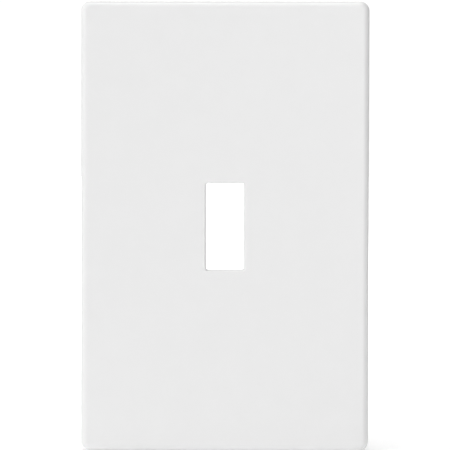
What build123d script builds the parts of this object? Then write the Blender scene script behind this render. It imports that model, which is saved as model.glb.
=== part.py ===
# Screwless toggle wall plate, mid-size, one gang: a push-on cover over a mounting plate.
#
# Millimetres. +Z is up, the cover faces -Y and the wall is at y = 0, so a feature's depth is its
# distance in front of the wall. The origin is the middle of the plate on the wall surface. Every
# outline is sketched on the wall plane, moved forward by a depth.

from build123d import *
import os

os.makedirs("parts", exist_ok=True)

# Cover: outline at its back rim, and its depths.
cover_width = 79.4
cover_height = 123.8
cover_back = 0.3
cover_front = 7.5
cover_corner_radius = 2.7
cover_edge_radius = 1.7
cover_draft = 3.0
cover_face_thickness = 1.9
cover_wall = 1.7
cavity_corner_radius = 1.0
cavity_draft = 2.0
cavity_front = cover_front - cover_face_thickness
cavity_half_width = cover_width / 2 - cover_wall
cavity_half_height = cover_height / 2 - cover_wall

# Toggle opening and the collar behind it.
opening_width = 10.3
opening_height = 23.8
opening_corner_radius = 0.5
opening_edge_radius = 0.7
collar_wall = 1.2
collar_back = 2.6
collar_corner_radius = 1.5

# Ribs, support posts and the pry notch of the cover.
cover_rib_thickness = 0.9
cover_rib_height = 1.2
cover_rib_embed = 0.6
long_rib_x = 13.0
cross_rib_spots = (20.0, 46.0)
post_radius = 1.5
post_back = 3.45
post_spacing_x = 52.0
post_spacing_z = 84.0
notch_width = 10.0
notch_depth = 1.0
notch_cut_height = 7.0

# Mounting plate.
plate_width = 72.0
plate_height = 116.0
plate_corner_radius = 3.0
web_back = 1.5
web_front = 3.3
window_width = 15.5
window_height = 29.5
window_corner_radius = 1.6
lip_width = 1.0
lip_height = 0.7
rim_width = 65.8
rim_height = 109.8
rim_wall = 1.4
rim_corner_radius = 2.0
plate_rib_thickness = 1.0
back_rib_start = 19.0
back_rib_depth = 0.4
back_rib_spacing = 28.0
back_rib_count = 4
front_rib_x = 18.0
front_rib_length = 92.0
front_rib_height = 0.5
arrow_base_z = 43.0
arrow_shaft_length = 3.0
arrow_shaft_width = 1.2
arrow_head_length = 3.0
arrow_head_width = 4.4
arrow_height = 0.25

# Screw bosses.
screw_spacing = 60.325
boss_spots = ((0, -screw_spacing / 2), (0, screw_spacing / 2))
boss_radius = 5.6
boss_back = 1.3
head_ring_inner_radius = 3.85
head_ring_outer_radius = 4.9
head_ring_height = 0.6
screw_hole_radius = 1.95
recess_radius = 3.3
recess_front = 2.57

# Captive screws, 6-32, and the retaining washers on their necks.
thread_radius = 1.753
neck_radius = 1.3
head_radius = 3.43
head_rim_height = 0.5
head_height = 1.25
slot_width = 1.0
slot_depth = 0.65
slot_cut_length = 14.0
screw_length = 12.7
thread_chamfer = 0.25
tip_chamfer = 0.6
thread_start = 1.33
retainer_inner_radius = 1.375
retainer_outer_radius = 3.0
retainer_back = 1.35
retainer_thickness = 0.4

# Snap arms: beams along the plate's edges, each in a pocket open to the edge. An arm's root is
# round about the axis that it flexes on.
arm_length = 18.0
arm_width = 1.8
arm_root_gap = 0.1
arm_slot = 1.2
arm_edge_radius = 0.3
side_arm_root_z = 20.0
top_arm_root_x = -16.0
nub_length = 3.0
nub_end_margin = 0.5
nub_reach = 1.6
nub_embed = 0.4
nub_back = 1.6
nub_tip_back = 2.35
nub_tip_front = 2.75
nub_front = 3.2
nub_outline = (
    (-nub_embed, nub_back),
    (0, nub_back),
    (nub_reach, nub_tip_back),
    (nub_reach, nub_tip_front),
    (0, nub_front),
    (-nub_embed, nub_front),
)

# Catches on the cover's inner walls, one behind each nub.
catch_length = 7.0
catch_embed = 0.6
catch_reach = 0.85
catch_back = 0.7
catch_tip_back = 1.1
catch_tip_front = 1.55
catch_front = 2.05
catch_outline = (
    (-catch_embed, catch_back),
    (0, catch_back),
    (catch_reach, catch_tip_back),
    (catch_reach, catch_tip_front),
    (0, catch_front),
    (-catch_embed, catch_front),
)

side_hinge_z = side_arm_root_z + arm_root_gap + arm_width / 2
top_hinge_x = top_arm_root_x + arm_root_gap + arm_width / 2
side_nub_z = side_arm_root_z + arm_length - nub_end_margin - nub_length / 2
top_nub_x = top_arm_root_x + arm_length - nub_end_margin - nub_length / 2


def wall_plane(depth):
    """The wall plane moved forward by a depth: its x is +X and its y is +Z."""
    return Plane.XZ.offset(depth)


# ------------------------------------------------------------------ cover
with BuildPart() as cover:
    with BuildSketch(wall_plane(cover_back)):
        RectangleRounded(cover_width, cover_height, cover_corner_radius)
    extrude(amount=cover_front - cover_back, taper=cover_draft)
    fillet(cover.faces().sort_by(Axis.Y)[0].edges(), cover_edge_radius)

    # The hollow behind the face.
    with BuildSketch(wall_plane(cover_back)):
        RectangleRounded(2 * cavity_half_width, 2 * cavity_half_height, cavity_corner_radius)
    extrude(amount=cavity_front - cover_back, taper=cavity_draft, mode=Mode.SUBTRACT)

    # Collar behind the toggle opening.
    with BuildSketch(wall_plane(collar_back)):
        RectangleRounded(
            opening_width + 2 * collar_wall, opening_height + 2 * collar_wall, collar_corner_radius
        )
    extrude(amount=cavity_front - collar_back)

    # Low stiffening ribs on the inner face.
    with BuildSketch(wall_plane(cavity_front - cover_rib_height)):
        for side in (-1, 1):
            with Locations((side * long_rib_x, 0)):
                Rectangle(cover_rib_thickness, 2 * cross_rib_spots[-1])
            for spot in cross_rib_spots:
                with Locations((0, side * spot)):
                    Rectangle(2 * (cavity_half_width - cover_rib_embed), cover_rib_thickness)
    extrude(amount=cover_rib_height)

    # Support posts that stop just short of the mounting plate.
    with BuildSketch(wall_plane(post_back)):
        with GridLocations(post_spacing_x, post_spacing_z, 2, 2):
            Circle(post_radius)
    extrude(amount=cavity_front - post_back)

    # Catches, two on each side wall and one on each end wall.
    for side in (-1, 1):
        for end in (-1, 1):
            with BuildSketch(Plane.XY.offset(end * side_nub_z - catch_length / 2)):
                Polygon(
                    *[(side * (cavity_half_width - reach), -depth) for reach, depth in catch_outline],
                    align=None,
                )
            extrude(amount=catch_length)
        with BuildSketch(Plane.YZ.offset(side * top_nub_x - catch_length / 2)):
            Polygon(
                *[(-depth, side * (cavity_half_height - reach)) for reach, depth in catch_outline],
                align=None,
            )
        extrude(amount=catch_length)

    # Toggle opening, right through the face and the collar.
    with BuildSketch(wall_plane(collar_back)):
        RectangleRounded(opening_width, opening_height, opening_corner_radius)
    extrude(amount=cover_front - collar_back, mode=Mode.SUBTRACT)
    fillet(cover.faces().sort_by(Axis.Y)[0].inner_wires()[0].edges(), opening_edge_radius)

    # Pry notch in the bottom wall, open to the back.
    with BuildSketch(wall_plane(cover_back)):
        with Locations((0, -cover_height / 2)):
            Rectangle(notch_width, notch_cut_height)
    extrude(amount=notch_depth, mode=Mode.SUBTRACT)


# --------------------------------------------------------- mounting plate
with BuildPart() as mounting_plate:
    # The web, with its window round the toggle.
    with BuildSketch(wall_plane(web_back)):
        RectangleRounded(plate_width, plate_height, plate_corner_radius)
    extrude(amount=web_front - web_back)

    # The raised lip round the window.
    with BuildSketch(wall_plane(web_back)):
        RectangleRounded(
            window_width + 2 * lip_width,
            window_height + 2 * lip_width,
            window_corner_radius + lip_width,
        )
    extrude(amount=web_front + lip_height - web_back)

    # The rim behind the web, which rests on the wall.
    with BuildSketch(wall_plane(0)):
        RectangleRounded(rim_width, rim_height, rim_corner_radius)
        RectangleRounded(
            rim_width - 2 * rim_wall,
            rim_height - 2 * rim_wall,
            rim_corner_radius - rim_wall,
            mode=Mode.SUBTRACT,
        )
    extrude(amount=web_back)

    # Ribs between the rim and the middle of the back.
    back_rib_end = rim_width / 2 - rim_wall / 2
    with BuildSketch(wall_plane(back_rib_depth)):
        with GridLocations(back_rib_start + back_rib_end, back_rib_spacing, 2, back_rib_count):
            Rectangle(back_rib_end - back_rib_start, plate_rib_thickness)
    extrude(amount=web_back - back_rib_depth)

    # Long ribs on the front.
    with BuildSketch(wall_plane(web_front)):
        with Locations((-front_rib_x, 0), (front_rib_x, 0)):
            SlotOverall(front_rib_length, plate_rib_thickness, rotation=90)
    extrude(amount=front_rib_height)

    # A raised arrow that shows which way is up.
    with BuildSketch(wall_plane(web_front)):
        arrow_neck_z = arrow_base_z + arrow_shaft_length
        Polygon(
            (-arrow_shaft_width / 2, arrow_base_z),
            (arrow_shaft_width / 2, arrow_base_z),
            (arrow_shaft_width / 2, arrow_neck_z),
            (arrow_head_width / 2, arrow_neck_z),
            (0, arrow_neck_z + arrow_head_length),
            (-arrow_head_width / 2, arrow_neck_z),
            (-arrow_shaft_width / 2, arrow_neck_z),
            align=None,
        )
    extrude(amount=arrow_height)

    # Screw bosses with a ring round each head, a hole and a recess for the retainer.
    with BuildSketch(wall_plane(boss_back)):
        with Locations(*boss_spots):
            Circle(boss_radius)
    extrude(amount=web_front - boss_back)
    with BuildSketch(wall_plane(web_front)):
        with Locations(*boss_spots):
            Circle(head_ring_outer_radius)
            Circle(head_ring_inner_radius, mode=Mode.SUBTRACT)
    extrude(amount=head_ring_height)
    with BuildSketch(wall_plane(boss_back)):
        with Locations(*boss_spots):
            Circle(screw_hole_radius)
    extrude(amount=web_front - boss_back, mode=Mode.SUBTRACT)
    with BuildSketch(wall_plane(boss_back)):
        with Locations(*boss_spots):
            Circle(recess_radius)
    extrude(amount=recess_front - boss_back, mode=Mode.SUBTRACT)

    # The window, through the web and its lip.
    with BuildSketch(wall_plane(web_back)):
        RectangleRounded(window_width, window_height, window_corner_radius)
    extrude(amount=web_front + lip_height - web_back, mode=Mode.SUBTRACT)

    # Pockets for the snap arms, each as long as its arm and the slot past its tip.
    pocket_length = arm_length + arm_slot
    pocket_width = 2 * (arm_width + arm_slot)
    with BuildSketch(wall_plane(web_back)):
        for side in (-1, 1):
            for end in (-1, 1):
                with Locations((side * plate_width / 2, end * (side_arm_root_z + pocket_length / 2))):
                    Rectangle(pocket_width, pocket_length)
            with Locations((side * (top_arm_root_x + pocket_length / 2), side * plate_height / 2)):
                Rectangle(pocket_length, pocket_width)
    extrude(amount=web_front - web_back, mode=Mode.SUBTRACT)


# -------------------------------------------------------------- snap arms
with BuildPart() as right_upper_snap:
    with BuildSketch(wall_plane(web_back)):
        with Locations((plate_width / 2 - arm_width / 2, side_hinge_z)):
            Circle(arm_width / 2)
            Rectangle(
                arm_width,
                side_arm_root_z + arm_length - side_hinge_z,
                align=(Align.CENTER, Align.MIN),
            )
    extrude(amount=web_front - web_back)
    fillet(right_upper_snap.faces().sort_by(Axis.Z)[-1].edges().filter_by(Axis.Y), arm_edge_radius)
    with BuildSketch(Plane.XY.offset(side_nub_z - nub_length / 2)):
        Polygon(*[(plate_width / 2 + reach, -depth) for reach, depth in nub_outline], align=None)
    extrude(amount=nub_length)

with BuildPart() as right_lower_snap:
    mirror(right_upper_snap.part, about=Plane.XY)

with BuildPart() as left_upper_snap:
    mirror(right_upper_snap.part, about=Plane.YZ)

with BuildPart() as left_lower_snap:
    mirror(left_upper_snap.part, about=Plane.XY)

with BuildPart() as top_snap:
    with BuildSketch(wall_plane(web_back)):
        with Locations((top_hinge_x, plate_height / 2 - arm_width / 2)):
            Circle(arm_width / 2)
            Rectangle(
                top_arm_root_x + arm_length - top_hinge_x,
                arm_width,
                align=(Align.MIN, Align.CENTER),
            )
    extrude(amount=web_front - web_back)
    fillet(top_snap.faces().sort_by(Axis.X)[-1].edges().filter_by(Axis.Y), arm_edge_radius)
    with BuildSketch(Plane.YZ.offset(top_nub_x - nub_length / 2)):
        Polygon(*[(-depth, plate_height / 2 + reach) for reach, depth in nub_outline], align=None)
    extrude(amount=nub_length)

with BuildPart() as bottom_snap:
    add(top_snap.part.rotate(Axis.Y, 180))


# ------------------------------------------------- screws and retainers
def boss_location(end):
    """The upper boss's axis for end = 1, the lower one's for end = -1."""
    return Location((0, 0, end * screw_spacing / 2))


with BuildPart() as screw_blank:
    screw_tip = web_front - screw_length
    with BuildSketch(Plane.YZ):
        with BuildLine():
            Polyline(
                (-web_front - head_height, 0),
                (-screw_tip, 0),
                (-screw_tip, thread_radius - tip_chamfer),
                (-screw_tip - tip_chamfer, thread_radius),
                (-thread_start + thread_chamfer, thread_radius),
                (-thread_start, thread_radius - thread_chamfer),
                (-thread_start, neck_radius),
                (-web_front, neck_radius),
                (-web_front, head_radius),
                (-web_front - head_rim_height, head_radius),
            )
            TangentArc(
                (-web_front - head_height, 0),
                (-web_front - head_rim_height, head_radius),
                tangent=(0, 1),
            )
        make_face()
    revolve(axis=Axis.Y)
    with BuildSketch(wall_plane(web_front + head_height - slot_depth)):
        Rectangle(slot_width, slot_cut_length)
    extrude(amount=slot_depth, mode=Mode.SUBTRACT)

with BuildPart() as upper_screw:
    add(screw_blank.part.moved(boss_location(1)))

with BuildPart() as lower_screw:
    add(screw_blank.part.moved(boss_location(-1)))

with BuildPart() as retainer_blank:
    with BuildSketch(wall_plane(retainer_back)):
        Circle(retainer_outer_radius)
        Circle(retainer_inner_radius, mode=Mode.SUBTRACT)
    extrude(amount=retainer_thickness)

with BuildPart() as upper_retainer:
    add(retainer_blank.part.moved(boss_location(1)))

with BuildPart() as lower_retainer:
    add(retainer_blank.part.moved(boss_location(-1)))


# ----------------------------------------------------------------- export
cover.part.label = "cover"
export_step(cover.part, "parts/cover.step")
mounting_plate.part.label = "mounting_plate"
export_step(mounting_plate.part, "parts/mounting_plate.step")
right_upper_snap.part.label = "right_upper_snap"
export_step(right_upper_snap.part, "parts/right_upper_snap.step")
right_lower_snap.part.label = "right_lower_snap"
export_step(right_lower_snap.part, "parts/right_lower_snap.step")
left_upper_snap.part.label = "left_upper_snap"
export_step(left_upper_snap.part, "parts/left_upper_snap.step")
left_lower_snap.part.label = "left_lower_snap"
export_step(left_lower_snap.part, "parts/left_lower_snap.step")
top_snap.part.label = "top_snap"
export_step(top_snap.part, "parts/top_snap.step")
bottom_snap.part.label = "bottom_snap"
export_step(bottom_snap.part, "parts/bottom_snap.step")
upper_screw.part.label = "upper_screw"
export_step(upper_screw.part, "parts/upper_screw.step")
lower_screw.part.label = "lower_screw"
export_step(lower_screw.part, "parts/lower_screw.step")
upper_retainer.part.label = "upper_retainer"
export_step(upper_retainer.part, "parts/upper_retainer.step")
lower_retainer.part.label = "lower_retainer"
export_step(lower_retainer.part, "parts/lower_retainer.step")
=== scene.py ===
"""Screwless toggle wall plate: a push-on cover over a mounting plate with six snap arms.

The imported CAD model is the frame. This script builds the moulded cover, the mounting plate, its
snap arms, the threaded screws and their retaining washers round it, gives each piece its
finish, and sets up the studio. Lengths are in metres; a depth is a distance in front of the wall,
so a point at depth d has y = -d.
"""

import logging
from dataclasses import dataclass, field
from enum import Enum
from math import cos, pi, radians, sin, tan

import bmesh
import bpy
from mathutils import Matrix, Vector


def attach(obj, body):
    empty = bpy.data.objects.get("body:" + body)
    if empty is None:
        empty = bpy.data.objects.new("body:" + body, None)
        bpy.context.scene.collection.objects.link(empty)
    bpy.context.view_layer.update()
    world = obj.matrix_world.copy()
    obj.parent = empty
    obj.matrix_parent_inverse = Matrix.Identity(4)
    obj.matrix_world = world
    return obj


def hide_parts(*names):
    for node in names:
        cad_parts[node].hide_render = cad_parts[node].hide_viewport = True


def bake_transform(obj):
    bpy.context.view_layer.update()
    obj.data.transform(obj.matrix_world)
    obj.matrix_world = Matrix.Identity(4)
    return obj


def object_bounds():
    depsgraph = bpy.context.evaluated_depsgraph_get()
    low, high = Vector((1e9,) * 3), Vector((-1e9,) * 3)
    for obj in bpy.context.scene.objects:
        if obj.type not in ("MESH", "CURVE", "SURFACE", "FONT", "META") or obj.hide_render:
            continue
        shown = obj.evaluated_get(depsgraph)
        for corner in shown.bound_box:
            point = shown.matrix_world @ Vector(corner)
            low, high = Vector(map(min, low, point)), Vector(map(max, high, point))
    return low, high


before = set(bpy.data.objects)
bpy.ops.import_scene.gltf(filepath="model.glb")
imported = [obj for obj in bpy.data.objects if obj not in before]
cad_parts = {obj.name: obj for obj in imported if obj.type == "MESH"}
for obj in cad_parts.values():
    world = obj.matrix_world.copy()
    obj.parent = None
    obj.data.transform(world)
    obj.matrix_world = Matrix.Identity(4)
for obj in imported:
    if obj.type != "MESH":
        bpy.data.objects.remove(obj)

CAD_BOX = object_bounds()
MM = 0.001
WELD_DISTANCE = 1e-6
FLATNESS_DEGREES = 0.5
FLAT_FACE_WEIGHT = 100
WHITE = (1.0, 1.0, 1.0, 1.0)
log = logging.getLogger("wall_plate")

Outline = list[tuple[float, float]]
Depths = tuple[float, float, float, float]
Triple = tuple[float, float, float]


# ------------------------------------------------------------------ mesh tools
def new_object(name: str, mesh: bpy.types.Mesh) -> bpy.types.Object:
    """Puts a mesh in the scene as an object at the origin.

    Args:
        name: the object's name.
        mesh: its mesh, already in place.

    Returns:
        The new object.
    """
    mesh.name = name
    obj = bpy.data.objects.new(name, mesh)
    bpy.context.scene.collection.objects.link(obj)
    return obj


def mesh_from(bm: bmesh.types.BMesh, name: str) -> bpy.types.Mesh:
    """Welds a bmesh, turns its faces outwards and writes it to a new mesh.

    Args:
        bm: the bmesh, which is freed.
        name: the mesh's name.

    Returns:
        The new mesh.
    """
    bmesh.ops.remove_doubles(bm, verts=bm.verts, dist=WELD_DISTANCE)
    bmesh.ops.recalc_face_normals(bm, faces=bm.faces)
    mesh = bpy.data.meshes.new(name)
    bm.to_mesh(mesh)
    bm.free()
    return mesh


def settle(obj: bpy.types.Object) -> bpy.types.Object:
    """Turns an object's modifiers into plain mesh.

    Args:
        obj: the object, whose modifiers are removed.

    Returns:
        The same object.
    """
    graph = bpy.context.evaluated_depsgraph_get()
    mesh = bpy.data.meshes.new_from_object(obj.evaluated_get(graph))
    mesh.name = obj.name
    obj.modifiers.clear()
    obj.data = mesh
    return obj


def turn_outward(obj: bpy.types.Object) -> bpy.types.Object:
    """Closes a mesh's seams, drops its slivers and turns its faces outwards.

    Args:
        obj: the object to clean.

    Returns:
        The same object.
    """
    bm = bmesh.new()
    bm.from_mesh(obj.data)
    bmesh.ops.remove_doubles(bm, verts=bm.verts, dist=WELD_DISTANCE)
    bmesh.ops.dissolve_degenerate(bm, edges=bm.edges, dist=WELD_DISTANCE)
    bmesh.ops.recalc_face_normals(bm, faces=bm.faces)
    bm.to_mesh(obj.data)
    bm.free()
    return obj


def delete(*objects: bpy.types.Object) -> None:
    """Removes helper objects that have done their work."""
    for obj in objects:
        bpy.data.objects.remove(obj, do_unlink=True)


def join(name: str, *objects: bpy.types.Object) -> bpy.types.Object:
    """Puts several objects' meshes into one.

    Args:
        name: the new object's name.
        objects: the objects to join, which are deleted.

    Returns:
        The joined object.
    """
    bm = bmesh.new()
    for obj in objects:
        bm.from_mesh(obj.data)
    mesh = bpy.data.meshes.new(name)
    bm.to_mesh(mesh)
    bm.free()
    delete(*objects)
    return new_object(name, mesh)


class Cut(Enum):
    """How a tool changes the piece that it is applied to."""

    ADD = "UNION"
    REMOVE = "DIFFERENCE"


def combine(piece: bpy.types.Object, tool: bpy.types.Object, cut: Cut) -> bpy.types.Object:
    """Adds a closed tool to a closed piece, or removes it.

    Args:
        piece: the piece to change.
        tool: the tool, which is deleted.
        cut: whether to add or to remove.

    Returns:
        The changed piece.
    """
    boolean = piece.modifiers.new("combine", "BOOLEAN")
    boolean.operation = cut.value
    boolean.solver = "EXACT"
    boolean.use_self = True
    boolean.object = tool
    settle(piece)
    delete(tool)
    return piece


@dataclass(frozen=True)
class EdgeBreak:
    """The small rounding that moulding or rolling leaves on every sharp edge."""

    width: float
    segments: int = 2
    sharper_than: float = 35.0

    def apply(self, obj: bpy.types.Object) -> bpy.types.Object:
        """Rounds the sharp edges, then shades the piece with its flats kept flat.

        Args:
            obj: the piece, a closed mesh.

        Returns:
            The same object.
        """
        bevel = obj.modifiers.new("edge_break", "BEVEL")
        bevel.width = self.width
        bevel.segments = self.segments
        bevel.limit_method = "ANGLE"
        bevel.angle_limit = radians(self.sharper_than)
        bevel.miter_outer = "MITER_ARC"
        settle(obj)
        return shade(turn_outward(obj))


def shade(obj: bpy.types.Object, crease: float = 40.0) -> bpy.types.Object:
    """Shades a piece smooth, with large faces deciding the normals at their edges.

    Args:
        obj: the piece.
        crease: the angle in degrees past which an edge stays sharp.

    Returns:
        The same object.
    """
    obj.data.shade_smooth()
    obj.data.set_sharp_from_angle(angle=radians(crease))
    weighted = obj.modifiers.new("weighted", "WEIGHTED_NORMAL")
    weighted.keep_sharp = True
    weighted.weight = FLAT_FACE_WEIGHT
    return settle(obj)


def cad_copy(node: str, name: str) -> bpy.types.Object:
    """A welded copy of a CAD node, with its flat faces made whole again.

    Args:
        node: the CAD node.
        name: the copy's name.

    Returns:
        The copy, not yet shaded.
    """
    bm = bmesh.new()
    bm.from_mesh(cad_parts[node].data)
    bmesh.ops.remove_doubles(bm, verts=bm.verts, dist=WELD_DISTANCE)
    flat = radians(FLATNESS_DEGREES)
    bmesh.ops.dissolve_limit(
        bm, angle_limit=flat, verts=bm.verts, edges=bm.edges, delimit=set()
    )
    return new_object(name, mesh_from(bm, name))


def prism(name: str, loop: list[Vector], travel: Vector) -> bpy.types.Object:
    """A closed solid swept straight from a flat loop.

    Args:
        name: the object's name.
        loop: the corners of the end face, in order.
        travel: how far and which way the face is swept.

    Returns:
        The new object.
    """
    bm = bmesh.new()
    near = [bm.verts.new(point) for point in loop]
    far = [bm.verts.new(point + travel) for point in loop]
    bm.faces.new(near)
    bm.faces.new(list(reversed(far)))
    count = len(loop)
    for at in range(count):
        after = (at + 1) % count
        bm.faces.new((near[at], far[at], far[after], near[after]))
    return new_object(name, mesh_from(bm, name))


def block(name: str, low: Triple, high: Triple) -> bpy.types.Object:
    """A box between two corners, each (x, depth, z).

    Args:
        name: the object's name.
        low: the corner with the smallest x, depth and z.
        high: the corner with the largest.

    Returns:
        The new object.
    """
    x0, d0, z0 = low
    x1, d1, z1 = high
    loop = [Vector((x, -d0, z)) for x, z in ((x0, z0), (x1, z0), (x1, z1), (x0, z1))]
    return prism(name, loop, Vector((0, d0 - d1, 0)))


def ring(half_width: float, half_height: float, radius: float, depth: float, steps: int) -> list[Vector]:
    """A loop of points round a rectangle with round corners, parallel to the wall.

    Args:
        half_width: half the rectangle's width.
        half_height: half its height.
        radius: its corners' radius.
        depth: its distance in front of the wall.
        steps: how many chords each corner has.

    Returns:
        The loop's points, anticlockwise as seen from the front.
    """
    points = []
    for quarter, (side, end) in enumerate(((1, 1), (-1, 1), (-1, -1), (1, -1))):
        centre = Vector((side * (half_width - radius), -depth, end * (half_height - radius)))
        for step in range(steps + 1):
            angle = (quarter + step / steps) * pi / 2
            points.append(centre + Vector((radius * cos(angle), 0, radius * sin(angle))))
    return points


def loft_closed(name: str, rings: list[list[Vector]]) -> bpy.types.Object:
    """Joins rings of equal length into a closed tube whose last ring meets its first.

    Args:
        name: the object's name.
        rings: the rings, in order round the tube's section.

    Returns:
        The new object.
    """
    bm = bmesh.new()
    loops = [[bm.verts.new(point) for point in points] for points in rings]
    around = len(rings[0])
    for at, loop in enumerate(loops):
        following = loops[(at + 1) % len(loops)]
        for spot in range(around):
            after = (spot + 1) % around
            bm.faces.new((loop[spot], loop[after], following[after], following[spot]))
    return new_object(name, mesh_from(bm, name))


def lathe(name: str, profile: Outline, height: float, segments: int) -> bpy.types.Object:
    """A solid of revolution about an axis that points into the wall.

    Args:
        name: the object's name.
        profile: (depth, radius) points from one end of the axis to the other.
        height: the axis's z.
        segments: how many faces go round.

    Returns:
        The new object.
    """
    bm = bmesh.new()
    turn = [2 * pi * at / segments for at in range(segments)]
    loops = [
        [bm.verts.new((radius * cos(a), -depth, height + radius * sin(a))) for a in turn]
        for depth, radius in profile
    ]
    for near, far in zip(loops, loops[1:]):
        for at in range(segments):
            after = (at + 1) % segments
            bm.faces.new((near[at], near[after], far[after], far[at]))
    return new_object(name, mesh_from(bm, name))


def arc(centre: tuple[float, float], radius: float, start: float, end: float, steps: int) -> Outline:
    """Points along an arc.

    Args:
        centre: the arc's centre.
        radius: its radius.
        start: the first point's angle in degrees.
        end: the last point's angle in degrees.
        steps: how many chords it has.

    Returns:
        The points, both ends included.
    """
    angles = [radians(start + (end - start) * at / steps) for at in range(steps + 1)]
    return [(centre[0] + radius * cos(a), centre[1] + radius * sin(a)) for a in angles]


def wedge(embed: float, reach: float, depths: Depths) -> Outline:
    """The section of a ridge that stands on a wall.

    Args:
        embed: how far its foot goes into the wall.
        reach: how far it stands out.
        depths: where it starts, where its tip starts and ends, and where it ends.

    Returns:
        The section's corners, each a reach and a depth.
    """
    start, tip_start, tip_end, end = depths
    return [
        (-embed, start),
        (0.0, start),
        (reach, tip_start),
        (reach, tip_end),
        (0.0, end),
        (-embed, end),
    ]


# --------------------------------------------------------------- node writing
@dataclass
class Nodes:
    """A node tree being written, with short calls for adding and joining nodes."""

    tree: bpy.types.NodeTree

    def add(self, kind: str, inputs: dict | None = None, **settings: object) -> bpy.types.Node:
        """Adds a node.

        Args:
            kind: the node's type.
            inputs: values or sockets for its inputs, by name or number.
            settings: its own properties.

        Returns:
            The new node.
        """
        node = self.tree.nodes.new(kind)
        for name, value in settings.items():
            setattr(node, name, value)
        for name, value in (inputs or {}).items():
            self.feed(node.inputs[name], value)
        return node

    def feed(self, socket: bpy.types.NodeSocket, value: object) -> None:
        """Gives an input a value, or links it to an output socket.

        Args:
            socket: the input.
            value: a value that it can hold, or an output socket.
        """
        if isinstance(value, bpy.types.NodeSocket):
            self.tree.links.new(value, socket)
        else:
            socket.default_value = value

    def maths(self, operation: str, *values: object) -> bpy.types.NodeSocket:
        """The result of a sum on one, two or three values.

        Args:
            operation: the Math node's operation.
            values: numbers or sockets.

        Returns:
            The socket that holds the result.
        """
        return self.add("ShaderNodeMath", dict(enumerate(values)), operation=operation).outputs[0]

    def noise(self, place: bpy.types.NodeSocket, scale: float, detail: float) -> bpy.types.NodeSocket:
        """A soft random pattern.

        Args:
            place: the place that it reads.
            scale: how fine it is.
            detail: how many finer patterns are laid over it.

        Returns:
            The pattern's level, from 0 to 1.
        """
        inputs = {"Vector": place, "Scale": scale, "Detail": detail}
        return self.add("ShaderNodeTexNoise", inputs).outputs[0]

    def between(self, level: bpy.types.NodeSocket, low: float, high: float) -> bpy.types.NodeSocket:
        """A value between two.

        Args:
            level: how far from the first to the second, from 0 to 1.
            low: the first value.
            high: the second.

        Returns:
            The socket that holds the value.
        """
        inputs = {"Value": level, "To Min": low, "To Max": high}
        return self.add("ShaderNodeMapRange", inputs).outputs[0]

    def tint(self, level: bpy.types.NodeSocket, first: Triple, second: Triple) -> bpy.types.NodeSocket:
        """A colour between two.

        Args:
            level: how far from the first to the second, from 0 to 1.
            first: the first colour.
            second: the second.

        Returns:
            The socket that holds the colour.
        """
        mix = self.add("ShaderNodeMix", {0: level}, data_type="RGBA")
        colours = [socket for socket in mix.inputs if socket.type == "RGBA"]
        for socket, colour in zip(colours, (first, second)):
            socket.default_value = (*colour, 1.0)
        return next(socket for socket in mix.outputs if socket.type == "RGBA")

    def relief(
        self, height: bpy.types.NodeSocket, rise: float, under: bpy.types.NodeSocket | None = None
    ) -> bpy.types.NodeSocket:
        """The surface's normal over a fine relief.

        Args:
            height: the relief's level, from 0 to 1.
            rise: how high a level of 1 stands.
            under: the normal that the relief lies on, where it isn't the surface's own.

        Returns:
            The socket that holds the normal.
        """
        inputs = {"Height": height, "Distance": rise}
        if under is not None:
            inputs["Normal"] = under
        return self.add("ShaderNodeBump", inputs).outputs[0]


@dataclass
class GeometryTree(Nodes):
    """A geometry node tree with named inputs, ending in Realize Instances and Set Material."""

    tree: bpy.types.NodeTree
    sockets: dict[str, bpy.types.NodeSocket] = field(default_factory=dict)
    identifiers: dict[str, str] = field(default_factory=dict)

    @classmethod
    def start(cls, name: str, sizes: list[str], counts: list[str]) -> "GeometryTree":
        """Begins a tree.

        Args:
            name: the tree's name.
            sizes: its inputs that are lengths.
            counts: its inputs that are whole numbers.

        Returns:
            The tree, with its inputs ready to link.
        """
        made = cls(bpy.data.node_groups.new(name, "GeometryNodeTree"))
        interface = made.tree.interface
        kinds = [(size, "NodeSocketFloat") for size in sizes]
        kinds += [(count, "NodeSocketInt") for count in counts]
        kinds.append(("Material", "NodeSocketMaterial"))
        for socket_name, kind in kinds:
            socket = interface.new_socket(name=socket_name, in_out="INPUT", socket_type=kind)
            made.identifiers[socket_name] = socket.identifier
        interface.new_socket(name="Geometry", in_out="OUTPUT", socket_type="NodeSocketGeometry")
        group_input = made.tree.nodes.new("NodeGroupInput")
        made.sockets = {key: group_input.outputs[key] for key in made.identifiers}
        return made

    def end(self, geometry: bpy.types.NodeSocket) -> None:
        """Closes the tree on a piece of geometry.

        Args:
            geometry: the socket that holds the finished geometry.
        """
        real = self.add("GeometryNodeRealizeInstances", {"Geometry": geometry})
        dressed = self.add(
            "GeometryNodeSetMaterial",
            {"Geometry": real.outputs[0], "Material": self.sockets["Material"]},
        )
        output = self.tree.nodes.new("NodeGroupOutput")
        self.feed(output.inputs[0], dressed.outputs[0])

    def make(self, name: str, values: dict[str, object]) -> bpy.types.Object:
        """Runs the tree once and keeps its mesh.

        Args:
            name: the new object's name.
            values: the inputs' values, by name.

        Returns:
            A plain mesh object with no modifier.
        """
        obj = new_object(name, bpy.data.meshes.new(name))
        modifier = obj.modifiers.new("nodes", "NODES")
        modifier.node_group = self.tree
        for key, value in values.items():
            modifier[self.identifiers[key]] = value
        return settle(obj)


# -------------------------------------------------------------------- finishes
def start_material(name: str) -> tuple[bpy.types.Material, Nodes, bpy.types.NodeInputs]:
    """Begins a material.

    Args:
        name: its name.

    Returns:
        The material, its nodes and its surface shader's inputs.
    """
    material = bpy.data.materials.new(name)
    material.use_nodes = True
    tree = material.node_tree
    return material, Nodes(tree), tree.nodes["Principled BSDF"].inputs


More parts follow.
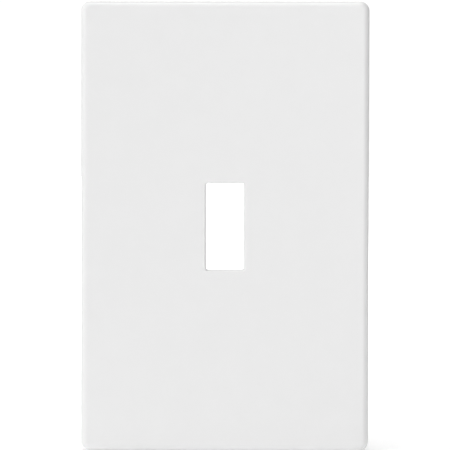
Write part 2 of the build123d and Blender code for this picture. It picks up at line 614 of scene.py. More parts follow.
@dataclass(frozen=True)
class MouldedPlastic:
    """A moulded plastic: a faint mottle, a mould's grain and an uneven gloss."""

    name: str
    light: Triple
    dark: Triple
    gloss_roughness: float
    dull_roughness: float
    refraction: float
    mottle_scale: float
    grain_scale: float
    grain_height: float
    ripple_scale: float
    ripple_height: float

    def build(self) -> bpy.types.Material:
        """Writes the material's nodes.

        Returns:
            The material.
        """
        material, nodes, surface = start_material(self.name)
        place = nodes.add("ShaderNodeTexCoord").outputs["Object"]
        mottle = nodes.noise(place, self.mottle_scale, detail=3.0)
        grain = nodes.noise(place, self.grain_scale, detail=2.0)
        ripple = nodes.noise(place, self.ripple_scale, detail=1.0)
        fine = nodes.relief(grain, self.grain_height)
        sheen = nodes.between(mottle, self.gloss_roughness, self.dull_roughness)
        nodes.feed(surface["IOR"], self.refraction)
        nodes.feed(surface["Base Color"], nodes.tint(mottle, self.dark, self.light))
        nodes.feed(surface["Roughness"], sheen)
        nodes.feed(surface["Normal"], nodes.relief(ripple, self.ripple_height, under=fine))
        return material


@dataclass(frozen=True)
class ZincPlate:
    """Bright zinc over rolled steel: pale blue to straw patches and fine drawn lines."""

    name: str
    cool: Triple
    warm: Triple
    bright_roughness: float
    dull_roughness: float
    patch_scale: float
    line_scale: float
    line_height: float

    def build(self) -> bpy.types.Material:
        """Writes the material's nodes.

        Returns:
            The material.
        """
        material, nodes, surface = start_material(self.name)
        place = nodes.add("ShaderNodeTexCoord").outputs["Object"]
        patch = nodes.noise(place, self.patch_scale, detail=4.0)
        lines = nodes.noise(place, self.line_scale, detail=2.0)
        sheen = nodes.between(patch, self.bright_roughness, self.dull_roughness)
        nodes.feed(surface["Metallic"], 1.0)
        nodes.feed(surface["Base Color"], nodes.tint(patch, self.cool, self.warm))
        nodes.feed(surface["Roughness"], sheen)
        nodes.feed(surface["Normal"], nodes.relief(lines, self.line_height))
        return material


@dataclass(frozen=True)
class FloorPaper:
    """Studio paper with a faint tooth, which fades to pure white away from its middle."""

    name: str
    light: Triple
    dark: Triple
    roughness: float
    shine: float
    tooth_scale: float
    glow: float
    fade_start: float
    fade_end: float

    def build(self) -> bpy.types.Material:
        """Writes the material's nodes.

        Returns:
            The material. Its fade is seen by the camera alone, so it lights nothing.
        """
        material, nodes, surface = start_material(self.name)
        place = nodes.add("ShaderNodeTexCoord").outputs["Object"]
        tooth = nodes.noise(place, self.tooth_scale, detail=4.0)
        flat = nodes.add("ShaderNodeSeparateXYZ", {0: place})
        square_x = nodes.maths("MULTIPLY", flat.outputs["X"], flat.outputs["X"])
        square_y = nodes.maths("MULTIPLY", flat.outputs["Y"], flat.outputs["Y"])
        away = nodes.maths("SQRT", nodes.maths("ADD", square_x, square_y))
        fade = nodes.add(
            "ShaderNodeMapRange",
            {
                "Value": away,
                "From Min": self.fade_start,
                "From Max": self.fade_end,
                "To Min": 0.0,
                "To Max": 1.0 - self.glow,
            },
            interpolation_type="SMOOTHSTEP",
        )
        seen = nodes.add("ShaderNodeLightPath").outputs["Is Camera Ray"]
        far = nodes.maths("MULTIPLY", fade.outputs[0], seen)
        nodes.feed(surface["Base Color"], nodes.tint(tooth, self.dark, self.light))
        nodes.feed(surface["Roughness"], self.roughness)
        nodes.feed(surface["Specular IOR Level"], self.shine)
        nodes.feed(surface["Emission Color"], WHITE)
        nodes.feed(surface["Emission Strength"], nodes.maths("ADD", far, self.glow))
        return material


COVER_PLASTIC = MouldedPlastic(
    name="cover_gloss_plastic",
    light=(0.775, 0.775, 0.775),
    dark=(0.755, 0.755, 0.755),
    gloss_roughness=0.285,
    dull_roughness=0.345,
    refraction=1.5,
    mottle_scale=140.0,
    grain_scale=4200.0,
    grain_height=0.0000012,
    ripple_scale=160.0,
    ripple_height=0.000004,
)
MOUNTING_PLASTIC = MouldedPlastic(
    name="plate_matte_plastic",
    light=(0.74, 0.73, 0.70),
    dark=(0.70, 0.69, 0.66),
    gloss_roughness=0.38,
    dull_roughness=0.64,
    refraction=1.5,
    mottle_scale=60.0,
    grain_scale=2600.0,
    grain_height=0.00001,
    ripple_scale=120.0,
    ripple_height=0.00001,
)
RETAINER_NYLON = MouldedPlastic(
    name="washer_nylon",
    light=(0.72, 0.69, 0.58),
    dark=(0.66, 0.62, 0.50),
    gloss_roughness=0.32,
    dull_roughness=0.56,
    refraction=1.53,
    mottle_scale=300.0,
    grain_scale=3000.0,
    grain_height=0.000006,
    ripple_scale=400.0,
    ripple_height=0.000006,
)
SCREW_ZINC = ZincPlate(
    name="screw_zinc",
    cool=(0.66, 0.69, 0.73),
    warm=(0.74, 0.72, 0.66),
    bright_roughness=0.28,
    dull_roughness=0.4,
    patch_scale=420.0,
    line_scale=2400.0,
    line_height=0.000004,
)
FLOOR_PAPER = FloorPaper(
    name="floor_paper",
    light=(0.93, 0.93, 0.93),
    dark=(0.90, 0.90, 0.90),
    roughness=0.9,
    shine=0.1,
    tooth_scale=40.0,
    glow=0.2,
    fade_start=0.12,
    fade_end=0.55,
)


def finish_piece(
    obj: bpy.types.Object, material: bpy.types.Material, nodes: list[str]
) -> bpy.types.Object:
    """Gives a piece its material and the CAD nodes that it stands for.

    Args:
        obj: the piece.
        material: its material.
        nodes: the CAD nodes that it replaces.

    Returns:
        The same object.
    """
    obj.data.materials.clear()
    obj.data.materials.append(material)
    if nodes:
        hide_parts(*nodes)
    log.info("%s: %d faces", obj.name, len(obj.data.polygons))
    return obj


# ------------------------------------------------------------- snap positions
class SnapSpot(Enum):
    """The six snap arms: CAD node, side of the plate and the way that the arm points."""

    RIGHT_UPPER = ("right_upper_snap", (1, 0, 0), (0, 0, 1))
    RIGHT_LOWER = ("right_lower_snap", (1, 0, 0), (0, 0, -1))
    LEFT_UPPER = ("left_upper_snap", (-1, 0, 0), (0, 0, 1))
    LEFT_LOWER = ("left_lower_snap", (-1, 0, 0), (0, 0, -1))
    TOP = ("top_snap", (0, 0, 1), (1, 0, 0))
    BOTTOM = ("bottom_snap", (0, 0, -1), (-1, 0, 0))

    @property
    def node(self) -> str:
        """The arm's CAD node and body."""
        return self.value[0]

    @property
    def outward(self) -> Vector:
        """The way from the plate's middle to the arm's edge."""
        return Vector(self.value[1])

    @property
    def along(self) -> Vector:
        """The way from the arm's root to its tip."""
        return Vector(self.value[2])


@dataclass(frozen=True)
class PlateSizes:
    """The mounting plate's outline and web, with the arms in it."""

    half_width: float = 36.0 * MM
    half_height: float = 58.0 * MM
    web_back: float = 1.5 * MM
    web_front: float = 3.3 * MM
    side_root: float = 20.0 * MM
    end_root: float = -16.0 * MM
    arm_length: float = 18.0 * MM
    nub_centre: float = 16.0 * MM
    screw_height: float = 30.1625 * MM

    def root(self, spot: SnapSpot) -> Vector:
        """The point on the plate's outer edge where an arm starts, on the wall plane.

        Args:
            spot: the arm.

        Returns:
            The point.
        """
        if spot.outward.x:
            return spot.outward * self.half_width + spot.along * self.side_root
        return spot.outward * self.half_height + spot.along * self.end_root


PLATE = PlateSizes()


# ----------------------------------------------------------------------- cover
@dataclass
class Cover:
    """The push-on cover: a shallow drafted tray with a toggle opening and its collar."""

    half_width: float = 39.7 * MM
    half_height: float = 61.9 * MM
    back: float = 0.3 * MM
    front: float = 7.5 * MM
    corner_radius: float = 2.7 * MM
    edge_radius: float = 1.7 * MM
    draft: float = 3.0
    face_thickness: float = 1.9 * MM
    wall: float = 1.7 * MM
    cavity_radius: float = 1.0 * MM
    cavity_least_radius: float = 0.1 * MM
    cavity_draft: float = 2.0
    inner_fillet: float = 0.4 * MM
    rim_break: float = 0.2 * MM
    opening_half_width: float = 5.15 * MM
    opening_half_height: float = 11.9 * MM
    opening_radius: float = 0.5 * MM
    opening_edge_radius: float = 0.7 * MM
    collar_wall: float = 1.2 * MM
    collar_back: float = 2.6 * MM
    rib_half_thickness: float = 0.45 * MM
    rib_height: float = 1.2 * MM
    rib_embed: float = 0.6 * MM
    long_rib_x: float = 13.0 * MM
    cross_rib_spots: tuple[float, float] = (20.0 * MM, 46.0 * MM)
    post_radius: float = 1.5 * MM
    post_back: float = 3.45 * MM
    post_x: float = 26.0 * MM
    post_z: float = 42.0 * MM
    catch_half_length: float = 3.5 * MM
    catch_embed: float = 0.6 * MM
    catch_reach: float = 0.85 * MM
    catch_depths: Depths = (0.7 * MM, 1.1 * MM, 1.55 * MM, 2.05 * MM)
    notch_half_width: float = 5.0 * MM
    notch_depth: float = 1.0 * MM
    edge: float = 0.12 * MM
    mark_spacing: tuple[float, float] = (50.0 * MM, 30.0 * MM)
    corner_steps: int = 12
    edge_steps: int = 14
    foot_steps: int = 4
    fine_steps: int = 3
    post_segments: int = 32

    def outer(self, inset: float, depth: float) -> list[Vector]:
        """One ring of the outside.

        Args:
            inset: how far it is moved in from the back rim's outline.
            depth: its depth.

        Returns:
            The ring's points.
        """
        return ring(
            self.half_width - inset,
            self.half_height - inset,
            self.corner_radius - inset,
            depth,
            self.corner_steps,
        )

    def cavity(self, inset: float, depth: float) -> list[Vector]:
        """One ring of the hollow.

        Args:
            inset: how far it is moved in from the hollow's mouth.
            depth: its depth.

        Returns:
            The ring's points.
        """
        return ring(
            self.half_width - self.wall - inset,
            self.half_height - self.wall - inset,
            max(self.cavity_radius - inset, self.cavity_least_radius),
            depth,
            self.corner_steps,
        )

    def opening(self, growth: float, depth: float) -> list[Vector]:
        """One ring of the opening or its collar.

        Args:
            growth: how far it is moved out from the opening's wall.
            depth: its depth.

        Returns:
            The ring's points.
        """
        return ring(
            self.opening_half_width + growth,
            self.opening_half_height + growth,
            self.opening_radius + growth,
            depth,
            self.corner_steps,
        )

    def outer_section(self) -> list[list[Vector]]:
        """The section from the back rim up the drafted outside and round the front edge.

        Returns:
            The section's rings, in order.
        """
        tip = self.rim_break
        rim = arc((tip, self.back + tip), tip, 270, 180, self.fine_steps)
        middle_depth = self.front - self.edge_radius
        start_depth = middle_depth + self.edge_radius * sin(radians(self.draft))
        start_inset = (start_depth - self.back) * tan(radians(self.draft))
        middle_inset = start_inset + self.edge_radius * cos(radians(self.draft))
        edge = arc(
            (middle_inset, middle_depth), self.edge_radius, 180 - self.draft, 90, self.edge_steps
        )
        return [self.outer(inset, depth) for inset, depth in rim + edge]

    def opening_section(self) -> list[list[Vector]]:
        """The section round the opening's front edge, through it and round the collar.

        Returns:
            The section's rings, in order.
        """
        edge = self.opening_edge_radius
        tip = self.rim_break
        foot = self.inner_fillet
        inner_face = self.front - self.face_thickness
        outline = arc((edge, self.front - edge), edge, 90, 180, self.edge_steps // 2)
        outline += arc((tip, self.collar_back + tip), tip, 180, 270, self.fine_steps)
        outline += arc(
            (self.collar_wall - tip, self.collar_back + tip), tip, 270, 360, self.fine_steps
        )
        outline += arc(
            (self.collar_wall + foot, inner_face - foot), foot, 180, 90, self.foot_steps
        )
        return [self.opening(growth, depth) for growth, depth in outline]

    def cavity_section(self) -> list[list[Vector]]:
        """The section from the inner face down the hollow's wall to the back rim.

        Returns:
            The section's rings, in order.
        """
        inner_face = self.front - self.face_thickness
        foot = self.inner_fillet
        tip = self.rim_break
        lean = (inner_face - self.back) * tan(radians(self.cavity_draft))
        outline = arc((lean + foot, inner_face - foot), foot, 90, 180, self.foot_steps)
        outline += arc((-tip, self.back + tip), tip, 0, -90, self.fine_steps)
        return [self.cavity(inset, depth) for inset, depth in outline]

    def catch(self, spot: SnapSpot) -> bpy.types.Object:
        """The ridge inside the wall that one arm's nub holds.

        Args:
            spot: the arm.

        Returns:
            The ridge, a closed solid that reaches into the wall.
        """
        inner = self.half_width if spot.outward.x else self.half_height
        foot = inner - self.wall
        section = wedge(self.catch_embed, self.catch_reach, self.catch_depths)
        beside = PLATE.side_root if spot.outward.x else PLATE.end_root
        start = spot.along * (beside + PLATE.nub_centre - self.catch_half_length)
        loop = [
            start + spot.outward * (foot - reach) + Vector((0, -depth, 0))
            for reach, depth in section
        ]
        return prism(f"catch_{spot.name}", loop, spot.along * (2 * self.catch_half_length))

    def ribs(self) -> list[bpy.types.Object]:
        """The low ribs on the inner face.

        Returns:
            The ribs, each a closed solid that reaches into the face.
        """
        top = self.front - self.face_thickness + self.rib_embed
        low = self.front - self.face_thickness - self.rib_height
        half = self.rib_half_thickness
        reach = self.half_width - self.wall
        made = []
        for side in (-1, 1):
            x = side * self.long_rib_x
            end = self.cross_rib_spots[-1]
            made.append(block("long_rib", (x - half, low, -end), (x + half, top, end)))
            for spot in self.cross_rib_spots:
                z = side * spot
                made.append(block("cross_rib", (-reach, low, z - half), (reach, top, z + half)))
        return made

    def posts(self) -> list[bpy.types.Object]:
        """The four posts that keep the face off the mounting plate.

        Returns:
            The posts, each a closed solid that reaches into the face.
        """
        top = self.front - self.face_thickness + self.rib_embed
        made = []
        for side in (-1, 1):
            for end in (-1, 1):
                profile = [(self.post_back, 0.0), (self.post_back, self.post_radius)]
                profile += [(top, self.post_radius), (top, 0.0)]
                post = lathe("post", profile, end * self.post_z, self.post_segments)
                post.data.transform(Matrix.Translation((side * self.post_x, 0, 0)))
                made.append(post)
        return made

    def build(self) -> bpy.types.Object:
        """Builds the cover as one closed solid.

        Returns:
            The cover.
        """
        rings = self.outer_section() + self.opening_section() + self.cavity_section()
        shell = loft_closed("cover_shell", rings)
        for tool in self.ribs() + self.posts() + [self.catch(spot) for spot in SnapSpot]:
            combine(shell, tool, Cut.ADD)
        notch = block(
            "notch",
            (-self.notch_half_width, self.back - MM, -self.half_height - MM),
            (self.notch_half_width, self.back + self.notch_depth, -self.half_height + 2 * self.wall),
        )
        combine(shell, notch, Cut.REMOVE)
        return EdgeBreak(width=self.edge).apply(shell)


# -------------------------------------------------------------- mounting plate
@dataclass
class MountingPlate:
    """The plate behind the cover, with its rim, window lip, bosses and arrow."""

    edge: float = 0.15 * MM
    mark_spacing: tuple[float, float] = (46.0 * MM, 28.0 * MM)

    def build(self) -> bpy.types.Object:
        """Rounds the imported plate's edges as a mould leaves them.

        Returns:
            The plate.
        """
        plate = cad_copy("mounting_plate", "mounting_web")
        return EdgeBreak(width=self.edge).apply(plate)


@dataclass
class SnapArm:
    """A beam moulded in one with the plate's edge, with the nub that holds the cover."""

    spot: SnapSpot
    width: float = 1.8 * MM
    root_embed: float = 0.5 * MM
    root_fillet: float = 1.0 * MM
    skin: float = 0.03 * MM
    tip_radius: float = 0.35 * MM
    nub_half_length: float = 1.5 * MM
    nub_embed: float = 0.4 * MM
    nub_reach: float = 1.6 * MM
    nub_depths: Depths = (1.6 * MM, 2.35 * MM, 2.75 * MM, 3.2 * MM)
    bend_share: float = 0.5
    edge: float = 0.15 * MM
    fillet_steps: int = 6

    def beam(self) -> bpy.types.Object:
        """The beam, wider at its root on the slot's side.

        Returns:
            The beam, a closed solid.
        """
        length = PLATE.arm_length
        flare = self.width + self.root_fillet
        tip = self.tip_radius
        steps = self.fillet_steps
        outline = [(-self.root_embed, 0.0)]
        outline += arc((length - tip, tip), tip, -90, 0, steps)
        outline += arc((length - tip, self.width - tip), tip, 0, 90, steps)
        outline += arc((self.root_fillet, flare), self.root_fillet, 270, 180, steps)
        outline += [(-self.root_embed, flare)]
        root = PLATE.root(self.spot)
        back = PLATE.web_back - self.skin
        loop = [
            root + self.spot.along * u - self.spot.outward * (w - self.skin) + Vector((0, -back, 0))
            for u, w in outline
        ]
        thickness = PLATE.web_front - PLATE.web_back + 2 * self.skin
        return prism(self.spot.node + "_arm", loop, Vector((0, -thickness, 0)))

    def nub(self) -> bpy.types.Object:
        """The wedge near the beam's tip, which holds the cover's catch.

        Returns:
            The wedge, a closed solid that reaches into the beam.
        """
        section = wedge(self.nub_embed, self.nub_reach, self.nub_depths)
        root = PLATE.root(self.spot)
        start = root + self.spot.along * (PLATE.nub_centre - self.nub_half_length)
        loop = [start + self.spot.outward * reach + Vector((0, -d, 0)) for reach, d in section]
        return prism("nub", loop, self.spot.along * (2 * self.nub_half_length))

    def build(self) -> bpy.types.Object:
        """Joins beam and nub and rounds their edges.

        Returns:
            The arm, in place.
        """
        arm = combine(self.beam(), self.nub(), Cut.ADD)
        return EdgeBreak(width=self.edge).apply(arm)

    def bend(self, arm: bpy.types.Object) -> None:
        """Bakes the arm's placement into its mesh; the arm is left straight and is not given to a body.

        Args:
            arm: the finished arm.
        """
        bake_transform(arm)


# ------------------------------------------------------------ screws, washers
@dataclass
class ScrewThread:
    """A rolled thread as one closed grid, wound round its axis by a node tree."""

    major_radius: float = 1.753 * MM
    core_radius: float = 1.32 * MM
    pitch: float = 0.79375 * MM
    start_depth: float = 1.33 * MM
    tip_depth: float = -9.4 * MM
    runout: float = 0.6 * MM
    root_flat: float = 0.16
    crest_flat: float = 0.86
    cap_share: float = 1e-4
    around: int = 64
    along: int = 236
    tree: GeometryTree | None = None

    def grow(self) -> GeometryTree:
        """Writes the thread's node tree.

        Returns:
            The tree. Its inputs are the thread's sizes and the axis's height.
        """
        sizes = ["Major radius", "Core radius", "Pitch", "Start depth", "Length", "Runout", "Height"]
        tree = GeometryTree.start("screw_thread", sizes, ["Around", "Along"])
        given = tree.sockets
        grid = tree.add(
            "GeometryNodeMeshGrid",
            {
                "Size X": 1.0,
                "Size Y": 1.0,
                "Vertices X": given["Around"],
                "Vertices Y": given["Along"],
            },
        )
        flat = tree.add(
            "ShaderNodeSeparateXYZ", {0: tree.add("GeometryNodeInputPosition").outputs[0]}
        )
        turn = tree.maths("ADD", flat.outputs["X"], 0.5)
        share = tree.maths("ADD", flat.outputs["Y"], 0.5)
        travel = tree.maths("MULTIPLY", share, given["Length"])
        left = tree.maths("SUBTRACT", given["Length"], travel)
        wound = tree.maths("SUBTRACT", tree.maths("DIVIDE", travel, given["Pitch"]), turn)
        phase = tree.maths("FRACT", wound)
        across = tree.maths("SUBTRACT", tree.maths("MULTIPLY", phase, 2.0), 1.0)
        flank = tree.maths("ABSOLUTE", across)
        rise = tree.add(
            "ShaderNodeMapRange",
            {"Value": flank, "From Min": self.root_flat, "From Max": self.crest_flat},
        ).outputs[0]
        fade_in = tree.maths("MINIMUM", tree.maths("DIVIDE", travel, given["Runout"]), 1.0)
        fade_out = tree.maths("MINIMUM", tree.maths("DIVIDE", left, given["Runout"]), 1.0)
        height = tree.maths("SUBTRACT", given["Major radius"], given["Core radius"])
        crest = tree.maths("MULTIPLY", tree.maths("MULTIPLY", rise, height), fade_in)
        full = tree.maths("ADD", given["Core radius"], tree.maths("MULTIPLY", crest, fade_out))
        chamfer = tree.maths("MULTIPLY", tree.maths("SUBTRACT", 1.0, fade_out), height)
        tapered = tree.maths("SUBTRACT", full, chamfer)
        inside = tree.maths(
            "MULTIPLY",
            tree.maths("GREATER_THAN", share, self.cap_share),
            tree.maths("LESS_THAN", share, 1.0 - self.cap_share),
        )
        radius = tree.maths("MULTIPLY", tapered, inside)
        angle = tree.maths("MULTIPLY", turn, 2 * pi)
        x = tree.maths("MULTIPLY", radius, tree.maths("COSINE", angle))
        y = tree.maths("SUBTRACT", travel, given["Start depth"])
        z = tree.maths(
            "ADD", tree.maths("MULTIPLY", radius, tree.maths("SINE", angle)), given["Height"]
        )
        place = tree.add("ShaderNodeCombineXYZ", {"X": x, "Y": y, "Z": z})
        placed = tree.add(
            "GeometryNodeSetPosition",
            {"Geometry": grid.outputs["Mesh"], "Position": place.outputs[0]},
        )
        welded = tree.add(
            "GeometryNodeMergeByDistance", {"Geometry": placed.outputs[0], "Distance": WELD_DISTANCE}
        )
        tree.end(welded.outputs[0])
        return tree

    def build(self, height: float, material: bpy.types.Material) -> bpy.types.Object:
        """Makes one screw's thread.

        Args:
            height: the axis's z.
            material: the thread's material.

        Returns:
            The thread, a closed solid.
        """
        self.tree = self.tree or self.grow()
        return self.tree.make(
            "thread",
            {
                "Major radius": self.major_radius,
                "Core radius": self.core_radius,
                "Pitch": self.pitch,
                "Start depth": self.start_depth,
                "Length": self.start_depth - self.tip_depth,
                "Runout": self.runout,
                "Height": height,
                "Around": self.around + 1,
                "Along": self.along,
                "Material": material,
            },
        )


@dataclass
class CaptiveScrew:
    """A plate screw: a low slotted head, a plain neck for its washer and a thread."""

    thread: ScrewThread
    head_radius: float = 3.43 * MM
    rim_height: float = 0.5 * MM
    head_height: float = 1.25 * MM
    neck_radius: float = 1.3 * MM
    neck_fillet: float = 0.2 * MM
    neck_embed: float = 0.1 * MM
    slot_half_width: float = 0.5 * MM
    slot_depth: float = 0.65 * MM
    segments: int = 96
    dome_steps: int = 10
    fillet_steps: int = 4
    edge: float = 0.1 * MM
    edge_segments: int = 3
    thread_crease: float = 60.0

    def head(self, height: float) -> bpy.types.Object:
        """The head and neck, turned about the axis and slotted.

        Args:
            height: the axis's z.

        Returns:
            The head, a closed solid.
        """
        seat = PLATE.web_front
        crown = self.head_height - self.rim_height
        dome_radius = (crown**2 + self.head_radius**2) / (2 * crown)
        dome_centre = seat + self.head_height - dome_radius
        foot = self.neck_fillet
        neck_end = self.thread.start_depth - self.neck_embed
        profile = [(neck_end, 0.0), (neck_end, self.neck_radius)]
        profile += arc((seat - foot, self.neck_radius + foot), foot, 270, 360, self.fillet_steps)
        profile += [(seat, self.head_radius), (seat + self.rim_height, self.head_radius)]
        for step in range(self.dome_steps - 1, -1, -1):
            radius = self.head_radius * step / self.dome_steps
            depth = dome_centre + (dome_radius**2 - radius**2) ** 0.5
            profile.append((depth, radius))
        head = lathe("head", profile, height, self.segments)
        top = seat + self.head_height
        reach = 2 * self.head_radius
        slot = block(
            "slot",
            (-self.slot_half_width, top - self.slot_depth, height - reach),
            (self.slot_half_width, top + MM, height + reach),
        )
        combine(head, slot, Cut.REMOVE)
        return EdgeBreak(width=self.edge, segments=self.edge_segments).apply(head)

    def build(self, name: str, height: float, material: bpy.types.Material) -> bpy.types.Object:
        """Builds one whole screw.

        Args:
            name: the screw's name.
            height: its axis's z.
            material: its material.

        Returns:
            The screw, in place.
        """
        thread = shade(turn_outward(self.thread.build(height, material)), self.thread_crease)
        return join(name, self.head(height), thread)


@dataclass
class RetainingWasher:
    """A nylon washer swept round the screw's neck by a node tree."""

    inner_radius: float = 1.375 * MM
    outer_radius: float = 3.0 * MM
    back: float = 1.35 * MM
    thickness: float = 0.4 * MM
    edge_radius: float = 0.1 * MM
    edge_steps: int = 4
    around: int = 72
    tree: GeometryTree | None = None

    def grow(self) -> GeometryTree:
        """Writes the washer's node tree.

        Returns:
            The tree. Its inputs are the washer's sizes and its middle's place.
        """
        sizes = ["Middle radius", "Width", "Thickness", "Edge radius", "Depth", "Height"]
        tree = GeometryTree.start("retaining_washer", sizes, ["Around"])
        given = tree.sockets
        path = tree.add(
            "GeometryNodeCurvePrimitiveCircle",
            {"Resolution": given["Around"], "Radius": given["Middle radius"]},
        )
        section = tree.add(
            "GeometryNodeCurvePrimitiveQuadrilateral",
            {"Width": given["Width"], "Height": given["Thickness"]},
        )
        rounded = tree.add(
            "GeometryNodeFilletCurve",
            {
                "Curve": section.outputs[0],
                "Radius": given["Edge radius"],
                "Count": self.edge_steps,
            },
            mode="POLY",
        )
        swept = tree.add(
            "GeometryNodeCurveToMesh",
            {"Curve": path.outputs[0], "Profile Curve": rounded.outputs[0]},
        )
        middle = tree.add("ShaderNodeCombineXYZ", {"Y": given["Depth"], "Z": given["Height"]})
        placed = tree.add(
            "GeometryNodeTransform",
            {
                "Geometry": swept.outputs[0],
                "Translation": middle.outputs[0],
                "Rotation": (pi / 2, 0.0, 0.0),
            },
        )
        tree.end(placed.outputs[0])
        return tree

    def build(self, name: str, height: float, material: bpy.types.Material) -> bpy.types.Object:
        """Builds one washer.

        Args:
            name: the washer's name.
            height: its axis's z.
            material: its material.

        Returns:
            The washer, in place.
        """
        self.tree = self.tree or self.grow()
        washer = self.tree.make(
            name,
            {
                "Middle radius": (self.inner_radius + self.outer_radius) / 2,
                "Width": self.outer_radius - self.inner_radius,
                "Thickness": self.thickness,
                "Edge radius": self.edge_radius,
                "Depth": -(self.back + self.thickness / 2),
                "Height": height,
                "Around": self.around,
                "Material": material,
            },
        )
        return shade(turn_outward(washer))


@dataclass
class EjectorMarks:
    """The shallow discs that a mould's ejector pins leave, set out in rows by a node tree."""

    radius: float = 2.0 * MM
    height: float = 0.12 * MM
    embed: float = 0.08 * MM
    slope: float = 0.3 * MM
    columns: int = 2
    rows: int = 3
    around: int = 40
    tree: GeometryTree | None = None

    def grow(self) -> GeometryTree:
        """Writes the marks' node tree.

        Returns:
            The tree. Its inputs are the marks' sizes, spacing and depth.
        """
        sizes = ["Radius", "Top radius", "Mark height", "Spacing X", "Spacing Z", "Depth"]
        tree = GeometryTree.start("ejector_marks", sizes, ["Columns", "Rows", "Around"])
        given = tree.sockets
        gaps_across = tree.maths("SUBTRACT", given["Columns"], 1.0)
        gaps_up = tree.maths("SUBTRACT", given["Rows"], 1.0)
        grid = tree.add(
            "GeometryNodeMeshGrid",
            {
                "Size X": tree.maths("MULTIPLY", given["Spacing X"], gaps_across),
                "Size Y": tree.maths("MULTIPLY", given["Spacing Z"], gaps_up),
                "Vertices X": given["Columns"],
                "Vertices Y": given["Rows"],
            },
        )
        mark = tree.add(
            "GeometryNodeMeshCone",
            {
                "Vertices": given["Around"],
                "Radius Top": given["Top radius"],
                "Radius Bottom": given["Radius"],
                "Depth": given["Mark height"],
            },
        )
        set_out = tree.add(
            "GeometryNodeInstanceOnPoints",
            {"Points": grid.outputs["Mesh"], "Instance": mark.outputs["Mesh"]},
        )
        middle = tree.add("ShaderNodeCombineXYZ", {"Y": given["Depth"]})
        placed = tree.add(
            "GeometryNodeTransform",
            {
                "Geometry": set_out.outputs[0],
                "Translation": middle.outputs[0],
                "Rotation": (-pi / 2, 0.0, 0.0),
            },
        )
        tree.end(placed.outputs[0])
        return tree

    def build(
        self,
        name: str,
        face_depth: float,
        spacing: tuple[float, float],
        material: bpy.types.Material,
    ) -> bpy.types.Object:
        """Sets out marks that stand on a face and point at the wall.

        Args:
            name: the piece's name.
            face_depth: the depth of the face that the marks stand on.
            spacing: the distance between marks across and up.
            material: their material.

        Returns:
            The marks as one piece.
        """
        self.tree = self.tree or self.grow()
        marks = self.tree.make(
            name,
            {
                "Radius": self.radius,
                "Top radius": self.radius - self.slope,
                "Mark height": self.height + self.embed,
                "Spacing X": spacing[0],
                "Spacing Z": spacing[1],
                "Depth": -(face_depth + self.embed),
                "Columns": self.columns,
                "Rows": self.rows,
                "Around": self.around,
                "Material": material,
            },
        )
        return shade(marks)


# ---------------------------------------------------------------------- studio
@dataclass(frozen=True)
class SoftLight:
    """A soft square light that faces the object."""

    name: str
    place: Triple
    size: float
    power: float

    def hang(self) -> None:
        """Hangs the light, out of the camera's sight."""
        data = bpy.data.lights.new(self.name, "AREA")
        data.shape = "SQUARE"
        data.size = self.size
        data.energy = self.power
        lamp = bpy.data.objects.new(self.name, data)
        bpy.context.scene.collection.objects.link(lamp)
        lamp.location = self.place
        lamp.rotation_euler = (-Vector(self.place)).to_track_quat("-Z", "Y").to_euler()
        lamp.visible_camera = False


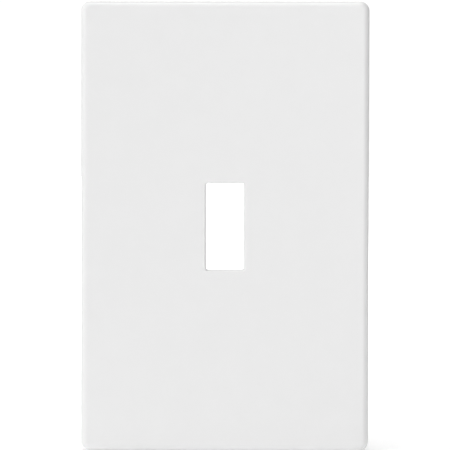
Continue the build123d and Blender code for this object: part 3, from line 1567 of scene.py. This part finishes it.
@dataclass
class Studio:
    """A pale floor, a white surround, soft lights and a long-lens camera in front."""

    floor_size: float = 6.0
    lens: float = 260.0
    sensor: float = 36.0
    frame_height: float = 124.3 * MM
    aim_above_middle: float = 0.2 * MM
    azimuth: float = 0.0
    elevation: float = 2.3
    roll: float = 0.1
    clip_start: float = 0.01
    clip_end: float = 20.0
    background_level: float = 1.05
    surround_level: float = 0.625
    surround_slope: Triple = (-0.59, 0.05, -0.2)
    lights: tuple[SoftLight, ...] = (
        SoftLight("key", (0.35, -1.28, 0.35), size=0.8, power=2.9),
        SoftLight("overhead", (0.0, -0.2, 1.2), size=0.7, power=6.9),
        SoftLight("edge", (-0.85, -0.75, 0.3), size=0.3, power=1.2),
        SoftLight("behind", (0.2, 1.1, 0.7), size=0.9, power=2.3),
    )

    def floor(self, level: float) -> None:
        """Lays the floor.

        Args:
            level: its z.
        """
        half = self.floor_size / 2
        bm = bmesh.new()
        corners = [(-half, -half), (half, -half), (half, half), (-half, half)]
        bm.faces.new([bm.verts.new((x, y, level)) for x, y in corners])
        mesh = bpy.data.meshes.new("floor")
        bm.to_mesh(mesh)
        bm.free()
        mesh.materials.append(FLOOR_PAPER.build())
        new_object("floor", mesh)

    def surround(self) -> None:
        """Sets a white background and a soft surround, brighter from the left and above."""
        world = bpy.data.worlds.new("surround")
        bpy.context.scene.world = world
        world.use_nodes = True
        nodes = Nodes(world.node_tree)
        world.node_tree.nodes.clear()
        way = nodes.add(
            "ShaderNodeSeparateXYZ", {0: nodes.add("ShaderNodeTexCoord").outputs["Generated"]}
        )
        side = nodes.maths("MULTIPLY", way.outputs["X"], self.surround_slope[0])
        back = nodes.maths("MULTIPLY", way.outputs["Y"], self.surround_slope[1])
        above = nodes.maths("MULTIPLY", way.outputs["Z"], self.surround_slope[2])
        tilt = nodes.maths("ADD", nodes.maths("ADD", side, back), above)
        level = nodes.maths("ADD", tilt, self.surround_level)
        soft = nodes.add("ShaderNodeBackground", {"Color": WHITE, "Strength": level})
        white = nodes.add(
            "ShaderNodeBackground", {"Color": WHITE, "Strength": self.background_level}
        )
        seen = nodes.add("ShaderNodeLightPath").outputs["Is Camera Ray"]
        mixed = nodes.add(
            "ShaderNodeMixShader", {0: seen, 1: soft.outputs[0], 2: white.outputs[0]}
        )
        nodes.add("ShaderNodeOutputWorld", {"Surface": mixed.outputs[0]})

    def camera(self) -> None:
        """Sets the camera square on to the front, framed on the object's height."""
        data = bpy.data.cameras.new("camera")
        data.lens = self.lens
        data.sensor_width = self.sensor
        camera = bpy.data.objects.new("camera", data)
        bpy.context.scene.collection.objects.link(camera)
        distance = self.frame_height * self.lens / self.sensor
        a, e = radians(self.azimuth), radians(self.elevation)
        back = Vector((sin(a) * cos(e), -cos(a) * cos(e), sin(e)))
        aim = Vector((0, 0, self.aim_above_middle))
        camera.location = aim + back * distance
        level = (-back).to_track_quat("-Z", "Y").to_matrix()
        camera.rotation_euler = (level @ Matrix.Rotation(radians(self.roll), 3, "Z")).to_euler()
        data.clip_start = self.clip_start
        data.clip_end = self.clip_end
        bpy.context.scene.camera = camera

    def build(self) -> None:
        """Sets up the whole studio under and round the object."""
        scene = bpy.context.scene
        scene.view_settings.view_transform = "Standard"
        scene.view_settings.look = "None"
        self.floor(CAD_BOX[0].z)
        self.surround()
        for light in self.lights:
            light.hang()
        self.camera()


def main() -> None:
    """Builds every piece in order and dresses it, and hands each piece but the snap arms to its body."""
    cover_plastic = COVER_PLASTIC.build()
    mounting_plastic = MOUNTING_PLASTIC.build()
    nylon = RETAINER_NYLON.build()
    zinc = SCREW_ZINC.build()
    Studio().build()

    cover = Cover()
    shell = finish_piece(cover.build(), cover_plastic, ["cover"])
    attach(shell, "cover")
    marks = EjectorMarks()
    inner_face = cover.front - cover.face_thickness
    inside = marks.build("cover_ejector_marks", inner_face, cover.mark_spacing, cover_plastic)
    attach(finish_piece(inside, cover_plastic, []), "cover")

    plate = MountingPlate()
    web = finish_piece(plate.build(), mounting_plastic, ["mounting_plate"])
    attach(web, "mounting_plate")
    behind = marks.build(
        "plate_ejector_marks", PLATE.web_back, plate.mark_spacing, mounting_plastic
    )
    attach(finish_piece(behind, mounting_plastic, []), "mounting_plate")

    for spot in SnapSpot:
        arm = SnapArm(spot)
        piece = finish_piece(arm.build(), mounting_plastic, [spot.node])
        arm.bend(piece)

    thread = ScrewThread()
    screws = CaptiveScrew(thread)
    washers = RetainingWasher()
    for which, end in (("upper", 1), ("lower", -1)):
        height = end * PLATE.screw_height
        screw = screws.build(f"{which}_threaded_screw", height, zinc)
        finish_piece(screw, zinc, [f"{which}_screw"])
        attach(screw, f"{which}_screw")
        washer = washers.build(f"{which}_washer", height, nylon)
        finish_piece(washer, nylon, [f"{which}_retainer"])
        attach(washer, f"{which}_retainer")


if __name__ == "__main__":
    logging.basicConfig(level=logging.INFO, format="%(name)s %(message)s")
    main()
